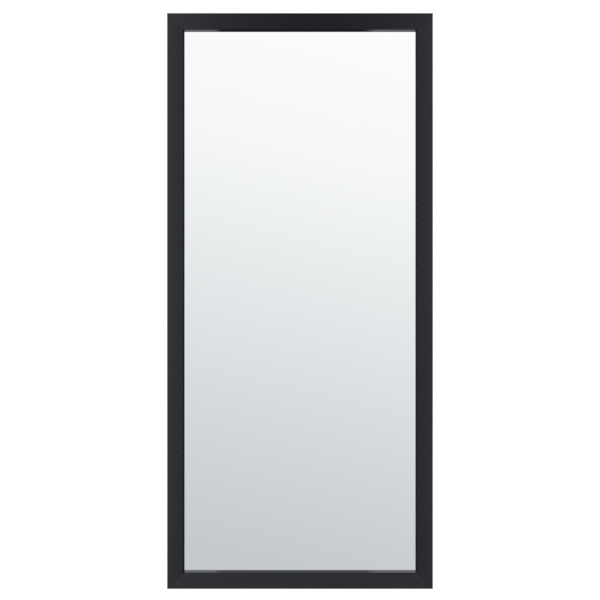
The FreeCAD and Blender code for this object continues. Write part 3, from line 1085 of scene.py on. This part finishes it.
class WALL_MIRROR_OT_screws(bpy.types.Operator):
    """Turn the screws and drive them in, each cross as it happened to stop"""

    bl_idname = "wall_mirror.screws"
    bl_label = "Screws"

    def execute(self, context):
        sizes = context.scene.mirror_screw_sizes
        zinc = finish("screw_zinc", screw_zinc, context.scene.mirror_colours.screw)
        small = self.screw(sizes, "small")
        large = self.screw(sizes, "hanger")
        groups = {
            "turn_button_screws": (small, sizes.small_height, [PIVOTS[body] for body in BUTTONS]),
            "corner_plate_screws": (small, sizes.small_height, self.plate_screws(context)),
            "hanger_screws": (large, sizes.hanger_height, self.strap_screws(context)),
        }
        for node, (screw, height, places) in groups.items():
            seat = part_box(node)[1].y - height
            bm = bmesh.new()
            for number, place in enumerate(places):
                copy = screw.copy()
                turn = Matrix.Rotation(math.radians(FIRST_CROSS + NEXT_CROSS * number), 4, "Y")
                copy.transform(Matrix.Translation((place.x, seat, place.z)) @ turn)
                bm.from_mesh(copy)
                bpy.data.meshes.remove(copy)
            fit(f"{node}_driven", mesh_of(bm, f"{node}_heads"), "frame", node, "screw_zinc", zinc)
        return {"FINISHED"}

    def plate_screws(self, context):
        """Places of the corner plates' screws."""
        holes = plate_holes(context.scene.mirror_stamping_sizes)
        return [plate_place(end, side) @ Vector((a, 0, b)) for end, side in CORNERS for a, b in holes]

    def strap_screws(self, context):
        """Places of the straps' screws, the lower one first."""
        sizes = context.scene.mirror_hanger_sizes
        places = []
        for side in SIDES:
            low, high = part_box(f"hanger_strap_{side}")
            for along in (0, sizes.strap_hole_pitch):
                places.append(Vector(((low.x + high.x) / 2, 0, low.z + sizes.strap_first_hole + along)))
        return places

    def screw(self, sizes, kind):
        """Pan-head screw along Y, head up, with the underside of its head at y = 0."""
        parts = ("shank", "head", "height", "length")
        shank, head, height, long = [getattr(sizes, f"{kind}_{part}") for part in parts]
        rise = height - sizes.rim
        dome = (head**2 + rise**2) / (2 * rise)
        spread = math.degrees(math.asin(head / dome))
        profile = [(0.0, -long), (shank, sizes.tip - long), (shank, 0.0)]
        profile += [(head - sizes.rim_ease, 0.0), (head, sizes.rim_ease)]
        profile += [(p.x, p.y) for p in arc(0, height - dome, dome, 90 - spread, 90, steps=10)]
        blank = turned("screw_blank", profile, steps=48)
        reach = head * sizes.cross_reach
        mouth = self.cross(reach, sizes.cross_half, height + NEAR)
        floor = self.cross(sizes.cross_floor_reach, sizes.cross_floor_half, sizes.cross_floor)
        mesh = punched(blank, skinned("cross_punch", [mouth, floor]))
        self.mark_recess_shade(mesh, reach, height, dome)
        return mesh

    def cross(self, arm, half, y):
        """Outline of a cross in X and Z."""
        quarter = [(arm, -half), (arm, half), (half, half)]
        turns = [Matrix.Rotation(math.pi / 2 * i, 2) for i in range(4)]
        points = [turn @ Vector(p) for turn in turns for p in quarter]
        return [Vector((p.x, y, p.y)) for p in points]

    def mark_recess_shade(self, mesh, reach, height, dome):
        """Mark the points that lie below the dome, where the finish paints shade."""
        marks = mesh.attributes.new("recess", "FLOAT", "POINT")
        for vert, mark in zip(mesh.vertices, marks.data):
            radius = math.hypot(vert.co.x, vert.co.z)
            surface = height - dome + math.sqrt(max(dome**2 - radius**2, 0.0))
            inside = vert.co.y > 0 and radius < reach + NEAR
            mark.value = float(inside and surface - vert.co.y > NEAR)


class WALL_MIRROR_OT_wall_bumpers(bpy.types.Operator):
    """Mould the rubber bumpers on their foam tape"""

    bl_idname = "wall_mirror.wall_bumpers"
    bl_label = "Wall Bumpers"

    def execute(self, context):
        sizes = context.scene.mirror_bumper_sizes
        colours = context.scene.mirror_colours
        soft = finish("bumper_rubber", rubber, colours.rubber)
        foam = finish("bumper_tape", foam_tape, colours.tape)
        for end, side in CORNERS:
            node = f"wall_bumper_{end}_{side}"
            low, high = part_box(node)
            profile = self.profile(sizes, (high.x - low.x) / 2, high.y - low.y)
            mesh = turned(f"{node}_moulding", profile, steps=64)
            for face in mesh.polygons:
                face.material_index = int(face.center.y < sizes.tape - NEAR)
            mesh.transform(Matrix.Translation(((low.x + high.x) / 2, low.y, (low.z + high.z) / 2)))
            fit(f"{node}_moulded", mesh, "frame", node, "bumper_rubber", soft, foam)
        return {"FINISHED"}

    def profile(self, sizes, base, height):
        """Tape, then rubber that narrows to the wall, as (radius, y) points."""
        tape = sizes.tape
        foot = sizes.foot_round
        edge = sizes.edge_round
        slope = math.degrees(math.atan2(sizes.draft, height - tape))
        rubber_foot = arc(base - foot, tape + foot, foot, -90, 0, steps=4)
        wall_edge = arc(base - sizes.draft - edge, height - edge, edge, slope, 90, steps=8)
        rim = base - sizes.tape_inset
        points = [(0.0, 0.0), (rim, 0.0), (rim, tape)]
        points += [(p.x, p.y) for p in rubber_foot + wall_edge]
        return points + [(0.0, height)]


class WALL_MIRROR_OT_stage(bpy.types.Operator):
    """Lay the floor, hang the light and set up the camera"""

    bl_idname = "wall_mirror.stage"
    bl_label = "Stage"

    def execute(self, context):
        studio = context.scene.mirror_studio
        context.scene.view_settings.view_transform = "Standard"
        self.floor(context, studio)
        self.light(context, studio)
        self.softbox(context, studio)
        self.camera(context, studio)
        return {"FINISHED"}

    def floor(self, context, studio):
        """Pale floor under the mirror, which its silvering doesn't pick up."""
        bm = bmesh.new()
        bmesh.ops.create_grid(bm, x_segments=1, y_segments=1, size=studio.floor_half)
        mesh = bpy.data.meshes.new("studio_floor")
        bm.to_mesh(mesh)
        bm.free()
        mesh.materials.append(finish("floor_white", floor_paint, studio))
        floor = bpy.data.objects.new("studio_floor", mesh)
        floor.location.z = CAD_BOX[0].z - studio.floor_gap
        floor.visible_glossy = False
        context.scene.collection.objects.link(floor)

    def light(self, context, studio):
        """Light from all round: white behind for the camera, a far wall for the pane, soft for the rest."""
        world = bpy.data.worlds.new("studio")
        world.use_nodes = True
        context.scene.world = world
        graph = Graph(world.node_tree)
        way = graph.node("ShaderNodeTexCoord", {}, {}, "Generated")
        x, y, z = graph.split(way)
        to_eye, sharp = graph.node("ShaderNodeLightPath", {}, {}, ("Is Camera Ray", "Is Singular Ray"))
        soft = self.soft_light(graph, studio, x, y, z)
        lit = graph.blend(sharp, soft, self.far_wall(graph, studio, x, z))
        sky = graph.blend(to_eye, lit, (studio.backdrop,) * 3)
        surface = graph.node("ShaderNodeBackground", {}, {"Color": sky})
        graph.node("ShaderNodeOutputWorld", {}, {"Surface": surface})

    def far_wall(self, graph, studio, x, z):
        """What the pane shows: a wall that gets brighter upwards and a little to the right."""
        aside = x.larger(-studio.wall_side).smaller(studio.wall_side)
        stops = (
            (-1.0, studio.wall_foot),
            (-0.32, studio.wall_low),
            (0.2, studio.wall_high),
            (0.45, studio.ceiling),
        )
        return graph.ramp(z + studio.wall_lean * aside, stops)

    def soft_light(self, graph, studio, x, y, z):
        """What lights the pieces: a broad band in front, weaker to the right, and an even glow behind."""
        band = graph.ramp(z, [(at, (tone, tone, tone * studio.coolness)) for at, tone in SOFT_BAND])
        side = 1 - 0.25 * x - 0.6 * graph.step(x, 0.3, 0.8)
        front = graph.node("ShaderNodeVectorMath", {"operation": "SCALE"}, {0: band, "Scale": side})
        back = 0.55 + 0.25 * z - 0.15 * x
        return graph.blend(graph.step(y, 0.1, 0.6), front, back)

    def softbox(self, context, studio):
        """Softbox high up behind, which models the fixings."""
        lamp = bpy.data.lights.new("back_softbox", "AREA")
        lamp.shape = "DISK"
        lamp.size = studio.lamp_width
        lamp.energy = studio.lamp_power
        softbox = bpy.data.objects.new("back_softbox", lamp)
        softbox.location = studio.lamp_place
        aim = Vector(studio.lamp_aim) - Vector(studio.lamp_place)
        softbox.rotation_euler = aim.to_track_quat("-Z", "Y").to_euler()
        softbox.visible_camera = False
        context.scene.collection.objects.link(softbox)

    def camera(self, context, studio):
        """Level camera in front of the mirror's middle."""
        camera = bpy.data.cameras.new("front_camera")
        camera.lens = camera.sensor_width * studio.camera_distance / studio.picture_width
        eye = bpy.data.objects.new("front_camera", camera)
        eye.location = (0, FRONT_Y - studio.camera_distance, studio.camera_rise)
        eye.rotation_euler = (math.pi / 2, 0, 0)
        context.scene.collection.objects.link(eye)
        context.scene.camera = eye


class WALL_MIRROR_PT_panel(bpy.types.Panel):
    """Sizes, colours and steps of the wall mirror"""

    bl_idname = "WALL_MIRROR_PT_panel"
    bl_label = "Wall Mirror"
    bl_space_type = "VIEW_3D"
    bl_region_type = "UI"
    bl_category = "Mirror"

    def draw(self, context):
        layout = self.layout
        for name, group in GROUPS.items():
            box = layout.box()
            values = getattr(context.scene, name)
            for key in group.__annotations__:
                box.prop(values, key)
        for step in STEPS:
            layout.operator(step.bl_idname)


GROUPS = {
    "mirror_frame_sizes": MirrorFrameSizes,
    "mirror_stamping_sizes": MirrorStampingSizes,
    "mirror_hanger_sizes": MirrorHangerSizes,
    "mirror_screw_sizes": MirrorScrewSizes,
    "mirror_bumper_sizes": MirrorBumperSizes,
    "mirror_colours": MirrorColours,
    "mirror_studio": MirrorStudio,
}
STEPS = (
    WALL_MIRROR_OT_frame_members,
    WALL_MIRROR_OT_pane,
    WALL_MIRROR_OT_setting_pads,
    WALL_MIRROR_OT_liner,
    WALL_MIRROR_OT_backing_board,
    WALL_MIRROR_OT_corner_nails,
    WALL_MIRROR_OT_corner_plates,
    WALL_MIRROR_OT_turn_buttons,
    WALL_MIRROR_OT_hanger_straps,
    WALL_MIRROR_OT_hanger_rings,
    WALL_MIRROR_OT_screws,
    WALL_MIRROR_OT_wall_bumpers,
    WALL_MIRROR_OT_stage,
)
CLASSES = (*GROUPS.values(), *STEPS, WALL_MIRROR_PT_panel)


def register():
    """Make the classes and the scene's values known."""
    for kind in CLASSES:
        bpy.utils.register_class(kind)
    for name, group in GROUPS.items():
        setattr(bpy.types.Scene, name, PointerProperty(type=group))


def unregister():
    """Take them away again."""
    for name in GROUPS:
        delattr(bpy.types.Scene, name)
    for kind in reversed(CLASSES):
        bpy.utils.unregister_class(kind)


def main():
    """Make every piece, then the stage."""
    register()
    bpy.ops.wall_mirror.frame_members()
    bpy.ops.wall_mirror.pane()
    bpy.ops.wall_mirror.setting_pads()
    bpy.ops.wall_mirror.liner()
    bpy.ops.wall_mirror.backing_board()
    bpy.ops.wall_mirror.corner_nails()
    bpy.ops.wall_mirror.corner_plates()
    bpy.ops.wall_mirror.turn_buttons()
    bpy.ops.wall_mirror.hanger_straps()
    bpy.ops.wall_mirror.hanger_rings()
    bpy.ops.wall_mirror.screws()
    bpy.ops.wall_mirror.wall_bumpers()
    bpy.ops.wall_mirror.stage()


if __name__ == "__main__":
    main()
